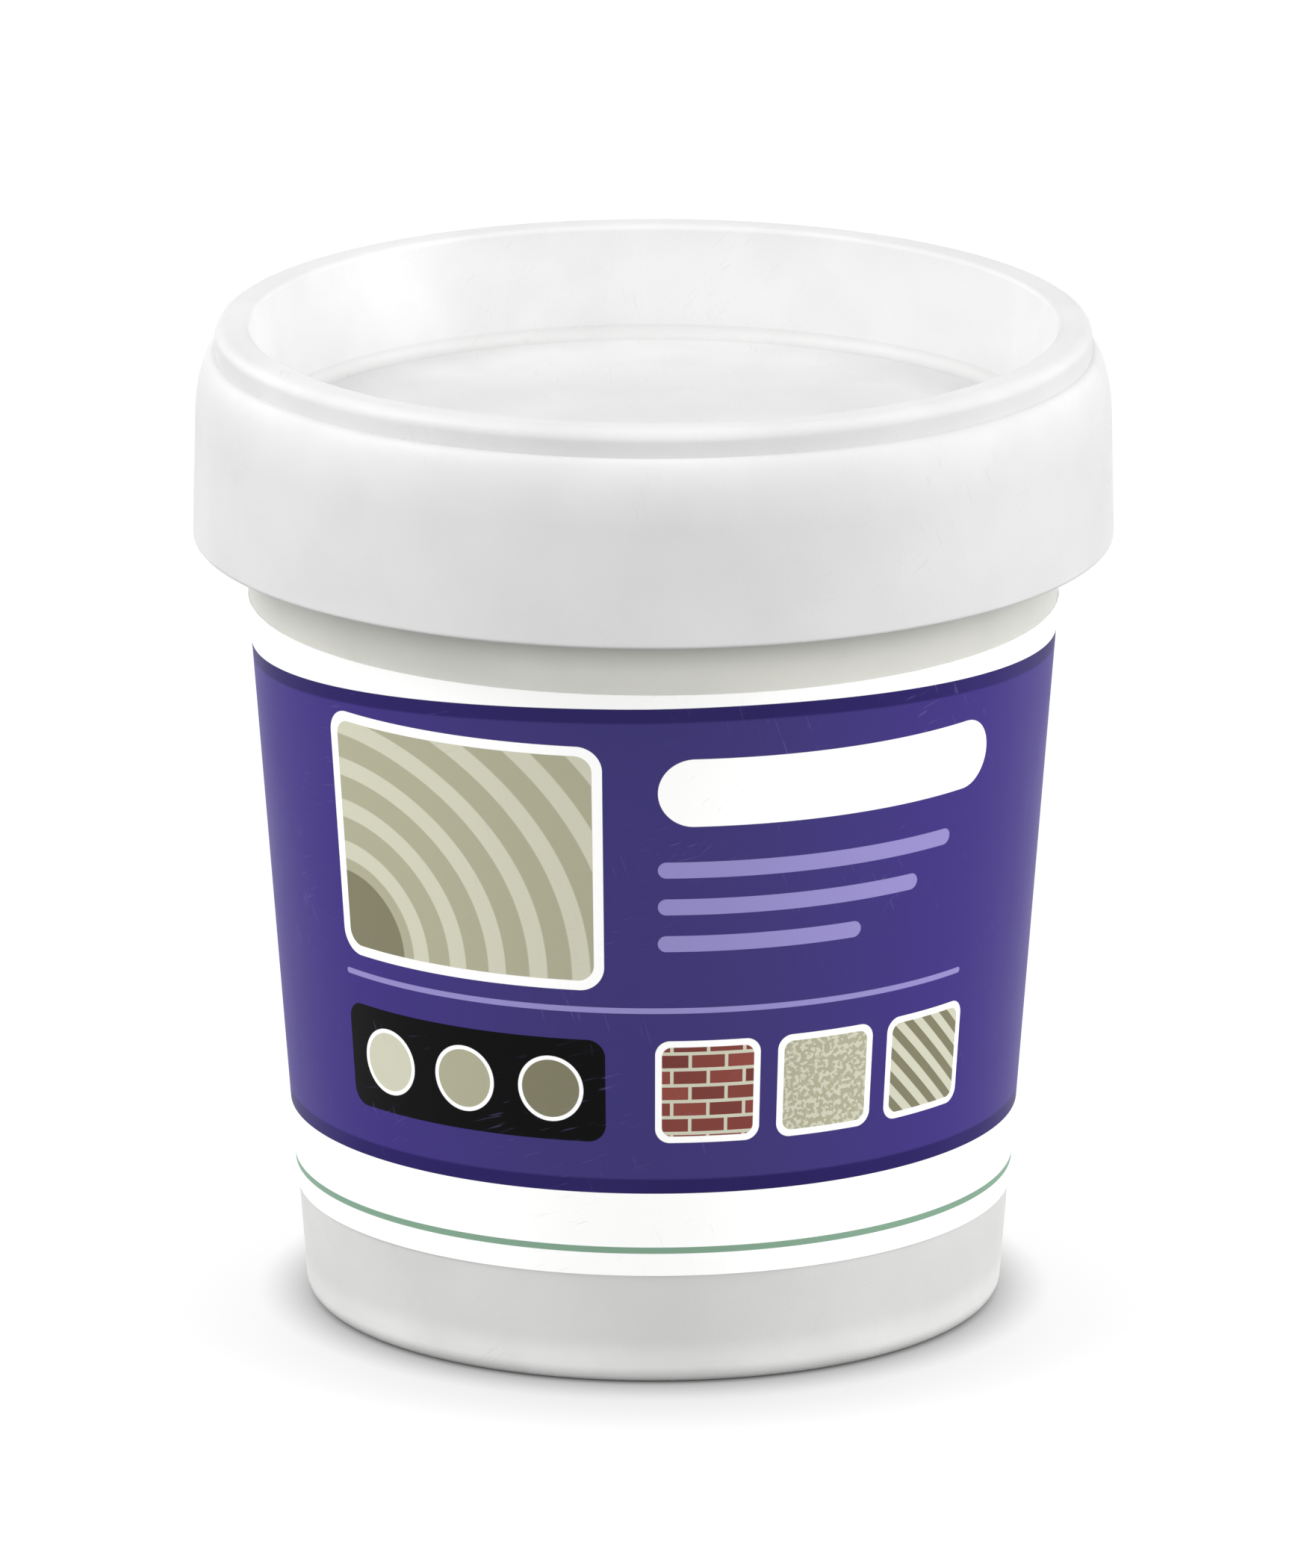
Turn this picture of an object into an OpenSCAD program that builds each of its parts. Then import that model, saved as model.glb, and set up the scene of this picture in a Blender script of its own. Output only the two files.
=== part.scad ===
// Wall filler tub: a drafted round pot with a push-on plug lid, a wrap-round printed label,
// the filler paste inside it and the loose film that keeps the paste from drying.
// Millimetres. The pot stands on the XY plane, its axis is Z and its front faces -Y.

/* [Tub] */
// Height of the tub, from the table to the top of its rim
tub_h = 118.4; // [100:0.2:140]
// Outside diameter of the wall, carried straight down to the table
base_d = 83.2; // [76:0.2:92]
// Outside diameter of the wall at the top of the rim
mouth_d = 101.6; // [96:0.2:112]
// Thickness of the wall
wall_t = 1.2; // [0.9:0.05:1.8]
// Thickness of the floor
floor_t = 1.5; // [1:0.1:2.5]
// Outside radius where the wall turns under to the foot
heel_r = 2.25; // [2:0.25:9]
// Inside diameter of the foot ring
foot_d = 60; // [48:0.5:62]
// Height of the floor's underside above the table
foot_rise = 1.6; // [0.8:0.1:3]
// Width of the gate well in the middle of the underside
gate_d = 12; // [8:0.5:20]
// Height of the gate well and of the gate nub in it
gate_h = 0.5; // [0.3:0.05:0.8]

/* [Rim bead] */
// Height of the plain rim above the bead
rim_h = 2.6; // [2.2:0.1:4]
// How far the rim bead stands out from the wall
bead_reach = 1.5; // [1:0.05:2.2]
// Depth of the sloping lead-in on top of the bead
bead_lead_h = 1.4; // [1.2:0.1:2.4]
// Height of the bead's widest land
bead_land_h = 0.8; // [0.5:0.1:1.5]
// Height of the hooked underside of the bead
bead_hook_h = 1.7; // [1:0.1:2.5]

/* [Lid] */
// Height of the lid's skirt below the rim of the tub
skirt_h = 24.4; // [20:0.1:30]
// Thickness of the lid's walls
lid_t = 1.15; // [0.9:0.05:1.4]
// Thickness of the lid where it rests on the rim
crown_t = 1.4; // [1.2:0.1:2.4]
// Depth of the stacking recess below the top of the lid
recess_h = 13.8; // [9:0.1:16]
// Height of the stacking ring above the shoulder
ring_h = 3.4; // [2:0.1:3.9]
// Height of the rounded shoulder between the ring and the straight skirt
shoulder_h = 8.5; // [5:0.1:11]
// How much wider the skirt is at its bottom edge, on each side
skirt_flare = 0.3; // [0.1:0.05:0.8]
// Depth of the plug's seal bead below the rim
seal_drop = 6; // [4:0.1:8]
// How far the seal bead stands out from the plug
seal_reach = 0.2; // [0.1:0.01:0.22]
// How far the snap catches stand in from the skirt
catch_reach = 0.95; // [0.5:0.05:1.2]
// Height of the snap catches
catch_h = 2.6; // [1.8:0.1:4]
// Number of snap catches round the skirt
catch_n = 12; // [6:1:18]
// Angle that each snap catch takes up
catch_angle = 20; // [10:1:20]

/* [Label] */
// Height of the label's lower edge above the table
label_z = 13.9; // [10:0.1:20]
// Height of the label
label_h = 72.8; // [50:0.2:76]
// Thickness of the label
label_t = 0.12; // [0.08:0.01:0.3]
// Thickness of the glue under the label
label_glue = 0.03; // [0.02:0.01:0.06]
// Length of the lap where the label's ends meet at the back
label_lap = 10; // [5:0.5:20]

/* [Contents] */
// Headspace between the cover film and the lid
headspace = 6.4; // [5:0.1:20]
// Thickness of the cover film
film_t = 0.2; // [0.1:0.05:0.4]
// Width of the ring of paste left bare round the film
film_margin = 1.8; // [1:0.1:5]

/* [Fits] */
// Clearance between the lid's plug and the inside of the tub
plug_gap = 0.4; // [0.25:0.05:0.8]
// Clearance between the lid's catches and the rim bead
catch_gap = 0.3; // [0.2:0.05:0.6]
// Clearance between the plain rim and the lid outside it
lead_gap = 0.4; // [0.3:0.05:0.8]
// Clearance between the paste and the tub
paste_gap = 0.2; // [0.1:0.05:0.4]

/* [Hidden] */

$fn = 96;
// Most that an arc's chords may depart from it
chord_error = 0.02;
// Fillet on the edges of both mouldings
edge_r = 0.4;
// Facets in the curve of the lid's shoulder
shoulder_steps = 8;
// Direction of the label's lap, seen from above
back_angle = 90;

// Radius of the tub's wall at a height, outside and inside
draft = (mouth_d - base_d) / 2 / tub_h;
function wall_out(z) = base_d / 2 + draft * z;
function wall_in(z) = wall_out(z) - wall_t;

// Heights up the rim bead
bead_r = wall_out(tub_h) + bead_reach;
lead_z = tub_h - rim_h;
land_top_z = lead_z - bead_lead_h;
land_z = land_top_z - bead_land_h;
hook_z = land_z - bead_hook_h;
floor_z = foot_rise + floor_t;

// Heights and radii of the lid in its closed place
lid_top_z = tub_h + crown_t;
panel_z = lid_top_z - recess_h;
skirt_z = tub_h - skirt_h;
shoulder_z = lid_top_z - ring_h;
ring_r = bead_r;
skirt_in_r = bead_r + catch_gap + catch_reach;
skirt_out_r = skirt_in_r + lid_t;
straight_z = shoulder_z - shoulder_h;
channel_r = wall_out(tub_h) + lead_gap;
seal_z = tub_h - seal_drop;
function plug_out(z) = wall_in(z) - plug_gap;
function plug_in(z) = plug_out(z) - lid_t;

// Heights of the contents
film_z = panel_z - lid_t - headspace;
fill_z = film_z - film_t;

// Quarter of an ellipse, from the straight skirt up and in to the ring
function shoulder_curve(skirt_r, top_r, top_z) =
    [for (i = [0:shoulder_steps])
        let (a = 90 * i / shoulder_steps)
        [top_r + (skirt_r - top_r) * cos(a), straight_z + (top_z - straight_z) * sin(a)]];
function reversed(points) = [for (i = [len(points) - 1:-1:0]) points[i]];

// Rounded outlines: each corner is [radius, height, fillet], and a fillet is limited by the sides beside it
function unit(v) = v / norm(v);
function at(c) = [c[0], c[1]];
function fillet_of(c) = len(c) > 2 ? c[2] : 0;
function corner_arc(before, here, after, wish) =
    let (
        u = unit(before - here),
        v = unit(after - here),
        half = acos(max(-1, min(1, u * v))) / 2,
        room = 0.48 * min(norm(before - here), norm(after - here)),
        reach = min(wish / tan(half), room),
        r = reach * tan(half),
        centre = here + unit(u + v) * r / sin(half),
        from = here + u * reach - centre,
        to = here + v * reach - centre,
        start = atan2(from[1], from[0]),
        swing = atan2(to[1], to[0]) - start,
        turn = swing > 180 ? swing - 360 : swing < -180 ? swing + 360 : swing,
        steps = ceil(abs(turn) / (2 * acos(1 - min(1, chord_error / r))))
    )
    [for (i = [0:steps]) let (a = start + turn * i / steps) centre + r * [cos(a), sin(a)]];
function rounded(corners) =
    let (n = len(corners))
    [for (i = [0:n - 1])
        let (c = corners[i])
        each fillet_of(c) > 0
            ? corner_arc(at(corners[(i + n - 1) % n]), at(c), at(corners[(i + 1) % n]), fillet_of(c))
            : [at(c)]];

module turned(corners) {
    rotate_extrude() polygon(rounded(corners));
}

// The pot: foot ring, heel, drafted wall and rim bead in one moulded shell
module tub() {
    color("white") union() {
        turned([
            [0, foot_rise + gate_h],
            [gate_d / 2, foot_rise + gate_h],
            [gate_d / 2 + gate_h, foot_rise],
            [foot_d / 2, foot_rise, edge_r],
            [foot_d / 2 + foot_rise, 0, edge_r],
            [wall_out(0), 0, heel_r],
            [wall_out(hook_z), hook_z, edge_r],
            [bead_r, land_z, edge_r],
            [bead_r, land_top_z, edge_r],
            [wall_out(lead_z), lead_z, edge_r],
            [wall_out(tub_h), tub_h, edge_r],
            [wall_in(tub_h), tub_h, edge_r],
            [wall_in(floor_z), floor_z, heel_r - wall_t],
            [0, floor_z],
        ]);
        translate([0, 0, foot_rise]) cylinder(d = gate_d / 5, h = gate_h + floor_t / 2);
    }
}

// The lid's shell: plug recess, stacking ring, shoulder and skirt, with the channel that sits on the rim
module lid_shell() {
    turned([
        [0, panel_z - lid_t],
        [plug_out(panel_z - lid_t), panel_z - lid_t, 3 * edge_r],
        [plug_out(seal_z - seal_reach * 3), seal_z - seal_reach * 3, edge_r],
        [plug_out(seal_z) + seal_reach, seal_z, edge_r],
        [plug_out(seal_z + seal_reach * 3), seal_z + seal_reach * 3, edge_r],
        [plug_out(tub_h), tub_h, edge_r],
        [channel_r, tub_h, edge_r],
        each reversed(shoulder_curve(skirt_in_r, channel_r, shoulder_z - edge_r)),
        [skirt_in_r + skirt_flare, skirt_z, edge_r],
        [skirt_out_r + skirt_flare, skirt_z, edge_r],
        each shoulder_curve(skirt_out_r, ring_r, shoulder_z),
        [ring_r, lid_top_z, 4 * edge_r],
        [plug_in(lid_top_z), lid_top_z, 2 * edge_r],
        [plug_in(panel_z), panel_z, 4 * edge_r],
        [0, panel_z],
    ]);
}

// One snap catch, a short ridge inside the skirt that hooks under the rim bead
module snap_catch() {
    tip_r = bead_r + catch_gap;
    root_r = skirt_in_r + lid_t / 2;
    rotate([0, 0, -catch_angle / 2])
        rotate_extrude(angle = catch_angle)
            polygon([
                [root_r, hook_z - catch_h],
                [root_r, hook_z],
                [tip_r, hook_z - catch_reach],
                [tip_r, hook_z - catch_h / 2],
            ]);
}

module lid() {
    color("whitesmoke") union() {
        lid_shell();
        for (i = [0:catch_n - 1])
            rotate([0, 0, (i + 0.5) * 360 / catch_n]) snap_catch();
    }
}

// The label's section, with its inner and outer faces set off from the wall
module label_section(inner, outer) {
    top = label_z + label_h;
    polygon([
        [wall_out(label_z) + inner, label_z],
        [wall_out(label_z) + outer, label_z],
        [wall_out(top) + outer, top],
        [wall_out(top) + inner, top],
    ]);
}

// One turn round the tub, with a second layer where its ends lap
module label() {
    lap_angle = label_lap / wall_out(label_z + label_h / 2) * 180 / PI;
    face = label_glue + label_t;
    color("darkslateblue") union() {
        rotate_extrude() label_section(label_glue, face);
        rotate([0, 0, back_angle - lap_angle / 2])
            rotate_extrude(angle = lap_angle) label_section(face - label_t / 2, face + label_t);
    }
}

module filler() {
    low_z = floor_z + paste_gap;
    color("ivory") turned([
        [0, low_z],
        [wall_in(low_z) - paste_gap, low_z, heel_r - wall_t],
        [wall_in(fill_z) - paste_gap, fill_z, 2 * edge_r],
        [0, fill_z],
    ]);
}

module cover_film() {
    color("aliceblue") translate([0, 0, fill_z])
        cylinder(r = wall_in(fill_z) - film_margin, h = film_t);
}

tub();
lid();
label();
filler();
cover_film();
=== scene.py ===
"""Looks of a tub of wall filler: moulded pot, push-on plug lid, wrap-round label, paste and cover film.

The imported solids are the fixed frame. Every piece is turned or wrapped round one axis, Z, and the
front of the label faces -Y. Lengths are in metres, and the label's print is laid out in millimetres.
"""

import math

import bmesh
import bpy
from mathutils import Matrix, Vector


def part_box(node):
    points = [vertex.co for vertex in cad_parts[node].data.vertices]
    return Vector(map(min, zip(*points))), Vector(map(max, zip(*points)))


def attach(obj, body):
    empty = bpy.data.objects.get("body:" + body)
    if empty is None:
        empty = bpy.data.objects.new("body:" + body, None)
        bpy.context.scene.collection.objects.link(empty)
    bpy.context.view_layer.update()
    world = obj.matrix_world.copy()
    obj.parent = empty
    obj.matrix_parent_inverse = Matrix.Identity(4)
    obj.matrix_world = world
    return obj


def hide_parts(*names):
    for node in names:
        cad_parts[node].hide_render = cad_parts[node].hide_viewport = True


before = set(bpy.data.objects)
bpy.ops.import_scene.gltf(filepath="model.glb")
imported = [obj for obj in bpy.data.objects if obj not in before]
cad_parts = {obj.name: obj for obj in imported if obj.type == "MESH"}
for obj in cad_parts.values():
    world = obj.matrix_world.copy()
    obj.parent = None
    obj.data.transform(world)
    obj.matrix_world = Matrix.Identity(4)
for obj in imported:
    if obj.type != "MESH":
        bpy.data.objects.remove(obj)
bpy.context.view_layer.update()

# Sizes of the mouldings
MM = 0.001
BASE_R = 41.6 * MM
MOUTH_R = 50.8 * MM
WALL_T = 1.2 * MM
FLOOR_T = 1.5 * MM
HEEL_R = 2.25 * MM
FOOT_R = 30 * MM
FOOT_RISE = 1.6 * MM
GATE_R = 6 * MM
GATE_H = 0.5 * MM
GATE_NUB_R = 1.2 * MM
RIM_H = 2.6 * MM
BEAD_LEAD_H = 1.4 * MM
BEAD_LAND_H = 0.8 * MM
BEAD_HOOK_H = 1.7 * MM
LID_T = 1.15 * MM
RECESS_H = 13.8 * MM
RING_H = 3.4 * MM
SHOULDER_H = 8.5 * MM
SKIRT_FLARE = 0.3 * MM
SEAL_DROP = 6 * MM
SEAL_REACH = 0.2 * MM
CATCH_REACH = 0.95 * MM
CATCH_H = 2.6 * MM
CATCH_COUNT = 12
CATCH_ANGLE = math.radians(20)
PLUG_GAP = 0.4 * MM
LEAD_GAP = 0.4 * MM
CATCH_GAP = 0.3 * MM

# Fillet of a plain edge, and the rounder ones
EDGE_R = 0.4 * MM
PLUG_FOOT_FILLET = 3 * EDGE_R
RING_FILLET = 4 * EDGE_R
MOUTH_FILLET = 2 * EDGE_R
PANEL_FILLET = 4 * EDGE_R
PASTE_FILLET = 2 * EDGE_R

# Sizes of the label and the contents. The swirl deepens from nothing between the two radii of its eye
LABEL_T = 0.12 * MM
LABEL_GLUE = 0.03 * MM
LABEL_LAP = 10 * MM
LABEL_RAMP = 4 * MM
PASTE_GAP = 0.2 * MM
SWIRL_PITCH = 11 * MM
SWIRL_DEPTH = 0.9 * MM
SWIRL_EYE = (2 * MM, 12 * MM)
WRINKLE_H = 0.45 * MM

# Unevenness of the swirl and the wrinkles: noise scales per metre, ranges of noise, and shares
SWIRL_SCALE = 38.0
SWIRL_WANDER = 0.9
POCKET_SCALE = 42.0
POCKET_RANGE = (0.42, 0.75)
POCKET_SHARE = 0.55
CREASE_SCALE = 95.0
CREASE_STRETCH = (1.0, 0.35, 0.0)
CREASE_RANGE = (0.06, 0.0)
CREASE_SHARE = 0.45

# Smoothness of the turned meshes
SEGMENTS = 240
CHORD_ERROR = 0.004 * MM
ARC_STEPS = 4
SHOULDER_STEPS = 24
SURFACE_STEP = 0.8 * MM
GUARD = 0.15 * MM
WELD = 0.001 * MM
SHARP_ANGLE = math.radians(50)

# Most of a side that the fillet at its end takes up, and share of the pitch over which a catch's end slopes
FILLET_ROOM = 0.48
CATCH_SLOPE = 0.03

# Places that the frame gives
tub_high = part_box("tub")[1]
lid_low, lid_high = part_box("lid")
label_low, label_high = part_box("label")
paste_low, paste_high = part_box("filler")
film_low, film_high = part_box("cover_film")
rim_z = tub_high.z
bead_r = tub_high.x
floor_z = FOOT_RISE + FLOOR_T
lid_top_z = lid_high.z
panel_z = lid_top_z - RECESS_H
shoulder_z = lid_top_z - RING_H
skirt_z = lid_low.z
skirt_out_r = lid_high.x - SKIRT_FLARE
skirt_in_r = skirt_out_r - LID_T
straight_z = shoulder_z - SHOULDER_H
lead_z = rim_z - RIM_H
land_top_z = lead_z - BEAD_LEAD_H
land_z = land_top_z - BEAD_LAND_H
hook_z = land_z - BEAD_HOOK_H


def wall_out(z):
    """Outside radius of the tub's wall at a height."""
    return BASE_R + (MOUTH_R - BASE_R) * z / rim_z


def wall_in(z):
    return wall_out(z) - WALL_T


def plug_out(z):
    """Outside radius of the lid's plug at a height."""
    return wall_in(z) - PLUG_GAP


def plug_in(z):
    return plug_out(z) - LID_T


# Radius at half the label's height, where the millimetres of its print are true
label_mid_r = wall_out((label_low.z + label_high.z) / 2)


def corner(r, z, fillet=0.0, ridge=0.0):
    """A corner of an outline. Ridge is how far, or by what share, the turning may move it."""
    return Vector((r, z)), fillet, ridge


def rounded(corners):
    """Points (radius, height, edge, ridge) of an outline, with an arc at each corner that has a fillet.

    Edge is 1 on an outer corner's arc, -1 on an inner one's, and 0 on the flats. A guard is a point just
    past each end of an arc, which keeps the flats flat under smooth shading.
    """
    points = []
    for i, (here, fillet, ridge) in enumerate(corners):
        if fillet == 0:
            points.append((here.x, here.y, 0.0, ridge))
            continue
        before = corners[i - 1][0] - here
        after = corners[(i + 1) % len(corners)][0] - here
        u = before.normalized()
        v = after.normalized()
        half = math.acos(max(-1.0, min(1.0, u.dot(v)))) / 2
        room = FILLET_ROOM * min(before.length, after.length)
        reach = min(fillet / math.tan(half), room)
        radius = reach * math.tan(half)
        centre = here + (u + v).normalized() * radius / math.sin(half)
        edge = 1.0 if u.cross(v) < 0 else -1.0
        turn = math.pi - 2 * half
        steps = max(ARC_STEPS, math.ceil(turn / (2 * math.acos(1 - CHORD_ERROR / radius))))
        first = here + u * reach - centre
        if reach + GUARD < before.length / 2:
            guard = here + u * (reach + GUARD)
            points.append((guard.x, guard.y, 0.0, ridge))
        for step in range(steps + 1):
            a = edge * turn * step / steps
            x = centre.x + first.x * math.cos(a) - first.y * math.sin(a)
            y = centre.y + first.x * math.sin(a) + first.y * math.cos(a)
            points.append((x, y, edge, ridge))
        if reach + GUARD < after.length / 2:
            guard = here + v * (reach + GUARD)
            points.append((guard.x, guard.y, 0.0, ridge))
    return points


def tub_outline():
    """The pot from the middle of its underside, up its outside, over the rim and back to its floor."""
    gate_z = FOOT_RISE + GATE_H
    return rounded([
        corner(0, FOOT_RISE),
        corner(GATE_NUB_R, FOOT_RISE, EDGE_R),
        corner(GATE_NUB_R, gate_z, EDGE_R / 2),
        corner(GATE_R, gate_z, EDGE_R),
        corner(GATE_R + GATE_H, FOOT_RISE, EDGE_R),
        corner(FOOT_R, FOOT_RISE, EDGE_R),
        corner(FOOT_R + FOOT_RISE, 0, EDGE_R),
        corner(wall_out(0), 0, HEEL_R),
        corner(wall_out(hook_z), hook_z, EDGE_R),
        corner(bead_r, land_z, EDGE_R),
        corner(bead_r, land_top_z, EDGE_R),
        corner(wall_out(lead_z), lead_z, EDGE_R),
        corner(wall_out(rim_z), rim_z, EDGE_R),
        corner(wall_in(rim_z), rim_z, EDGE_R),
        corner(wall_in(floor_z), floor_z, HEEL_R - WALL_T),
        corner(0, floor_z),
    ])


def shoulder_curve(skirt_r, top_r, top_z):
    """Quarter of an ellipse, from the straight skirt up and in to the ring."""
    angles = [math.pi / 2 * i / SHOULDER_STEPS for i in range(SHOULDER_STEPS + 1)]
    return [corner(top_r + (skirt_r - top_r) * math.cos(a), straight_z + (top_z - straight_z) * math.sin(a))
            for a in angles]


def inner_shoulder(channel_r):
    """The shoulder's inside from the channel down, with ridged corners where the snap catches stand in."""
    top_z = shoulder_z - EDGE_R
    curve = shoulder_curve(skirt_in_r, channel_r, top_z)
    low_z = hook_z - CATCH_H
    tip_low_z = hook_z - CATCH_H / 2
    tip_high_z = hook_z - CATCH_REACH
    tip_r = bead_r + CATCH_GAP

    def inside_r(z):
        rise = max(0.0, (z - straight_z) / (top_z - straight_z))
        return channel_r + (skirt_in_r - channel_r) * math.sqrt(1 - rise * rise)

    above = [point for point in reversed(curve) if point[0].y > hook_z]
    below = [point for point in reversed(curve) if point[0].y < low_z]
    catch = [corner(inside_r(hook_z), hook_z)]
    for z in (tip_high_z, tip_low_z):
        catch.append(corner(inside_r(z), z, 0, inside_r(z) - tip_r))
    catch.append(corner(inside_r(low_z), low_z))
    return above + catch + below


def lid_outline():
    """The lid from the middle of its underside, out over plug, channel and skirt, and back over its top."""
    under_z = panel_z - LID_T
    seal_z = rim_z - SEAL_DROP
    seal_half = 3 * SEAL_REACH
    channel_r = wall_out(rim_z) + LEAD_GAP
    return rounded([
        corner(0, under_z),
        corner(plug_out(under_z), under_z, PLUG_FOOT_FILLET),
        corner(plug_out(seal_z - seal_half), seal_z - seal_half, EDGE_R),
        corner(plug_out(seal_z) + SEAL_REACH, seal_z, EDGE_R),
        corner(plug_out(seal_z + seal_half), seal_z + seal_half, EDGE_R),
        corner(plug_out(rim_z), rim_z, EDGE_R),
        corner(channel_r, rim_z, EDGE_R),
        *inner_shoulder(channel_r),
        corner(skirt_in_r + SKIRT_FLARE, skirt_z, EDGE_R),
        corner(skirt_out_r + SKIRT_FLARE, skirt_z, EDGE_R),
        *shoulder_curve(skirt_out_r, bead_r, shoulder_z),
        corner(bead_r, lid_top_z, RING_FILLET),
        corner(plug_in(lid_top_z), lid_top_z, MOUTH_FILLET),
        corner(plug_in(panel_z), panel_z, PANEL_FILLET),
        corner(0, panel_z),
    ])


def label_outline():
    """The label's thin section on the wall, closed on itself."""
    low = label_low.z
    high = label_high.z
    inner = LABEL_GLUE
    outer = LABEL_GLUE + LABEL_T
    section = rounded([
        corner(wall_out(low) + inner, low),
        corner(wall_out(low) + outer, low),
        corner(wall_out(high) + outer, high),
        corner(wall_out(high) + inner, high),
    ])
    return section + section[:1]


def steps_between(start, end, size):
    """Evenly spaced values from start to end, about size apart."""
    count = max(1, round(abs(end - start) / size))
    return [start + (end - start) * i / count for i in range(count + 1)]


def paste_outline():
    """The paste, with rings close enough on its top to carry the swirl."""
    low = paste_low.z
    high = paste_high.z
    low_r = wall_in(low) - PASTE_GAP
    high_r = wall_in(high) - PASTE_GAP
    flat_r = high_r - 2 * PASTE_FILLET
    sides = rounded([
        corner(0, low),
        corner(low_r, low, HEEL_R - WALL_T),
        corner(high_r, high, PASTE_FILLET),
        corner(flat_r, high),
        corner(0, high),
    ])[:-2]
    top = [(r, high, 0.0, 1.0) for r in steps_between(flat_r, 0, SURFACE_STEP)]
    return sides + top


def film_outline():
    """The cover film's two faces, with rings close enough to carry its wrinkles."""
    rings = steps_between(0, film_high.x, SURFACE_STEP)
    under = [(r, film_low.z, 0.0, 1.0) for r in rings]
    over = [(r, film_high.z, 0.0, 1.0) for r in reversed(rings)]
    return under + over


def feed(tree, socket, value):
    """Feeds a socket from another one, or writes a plain value on it."""
    if isinstance(value, bpy.types.NodeSocket):
        tree.links.new(value, socket)
    else:
        socket.default_value = value


def node(tree, kind, inputs=None, **settings):
    """A new node with its settings made and its inputs fed, by name or by number."""
    made = tree.nodes.new(kind)
    for name, value in settings.items():
        setattr(made, name, value)
    for name, value in (inputs or {}).items():
        feed(tree, made.inputs[name], value)
    return made


def maths(tree, operation, *values, clamp=False):
    made = node(tree, "ShaderNodeMath", dict(enumerate(values)), operation=operation, use_clamp=clamp)
    return made.outputs[0]


def product(tree, *values):
    """All the values multiplied together."""
    result = values[0]
    for value in values[1:]:
        result = maths(tree, "MULTIPLY", result, value)
    return result


def vector_maths(tree, operation, *values):
    made = node(tree, "ShaderNodeVectorMath", dict(enumerate(values)), operation=operation)
    return made.outputs["Value" if operation in ("LENGTH", "DISTANCE") else "Vector"]


def levelled(tree, place):
    """A place with its third coordinate left out."""
    return vector_maths(tree, "MULTIPLY", place, (1.0, 1.0, 0.0))


def height_of(tree, place):
    return node(tree, "ShaderNodeSeparateXYZ", {"Vector": place}).outputs["Z"]


def remap(tree, value, low, high, to_low=0.0, to_high=1.0):
    """A smooth step of a value from one range to another."""
    made = node(tree, "ShaderNodeMapRange", interpolation_type="SMOOTHSTEP")
    for i, given in enumerate((value, low, high, to_low, to_high)):
        feed(tree, made.inputs[i], given)
    return made.outputs["Result"]


def noise(tree, place, scale, detail):
    """Soft noise from 0 to 1, with patches about 1 / scale across."""
    made = node(tree, "ShaderNodeTexNoise", {"Vector": place, "Scale": scale, "Detail": detail})
    return made.outputs["Fac"]


def add_sockets(tree, way, kind, names):
    for name in names:
        tree.interface.new_socket(name=name, in_out=way, socket_type=kind)


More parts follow.
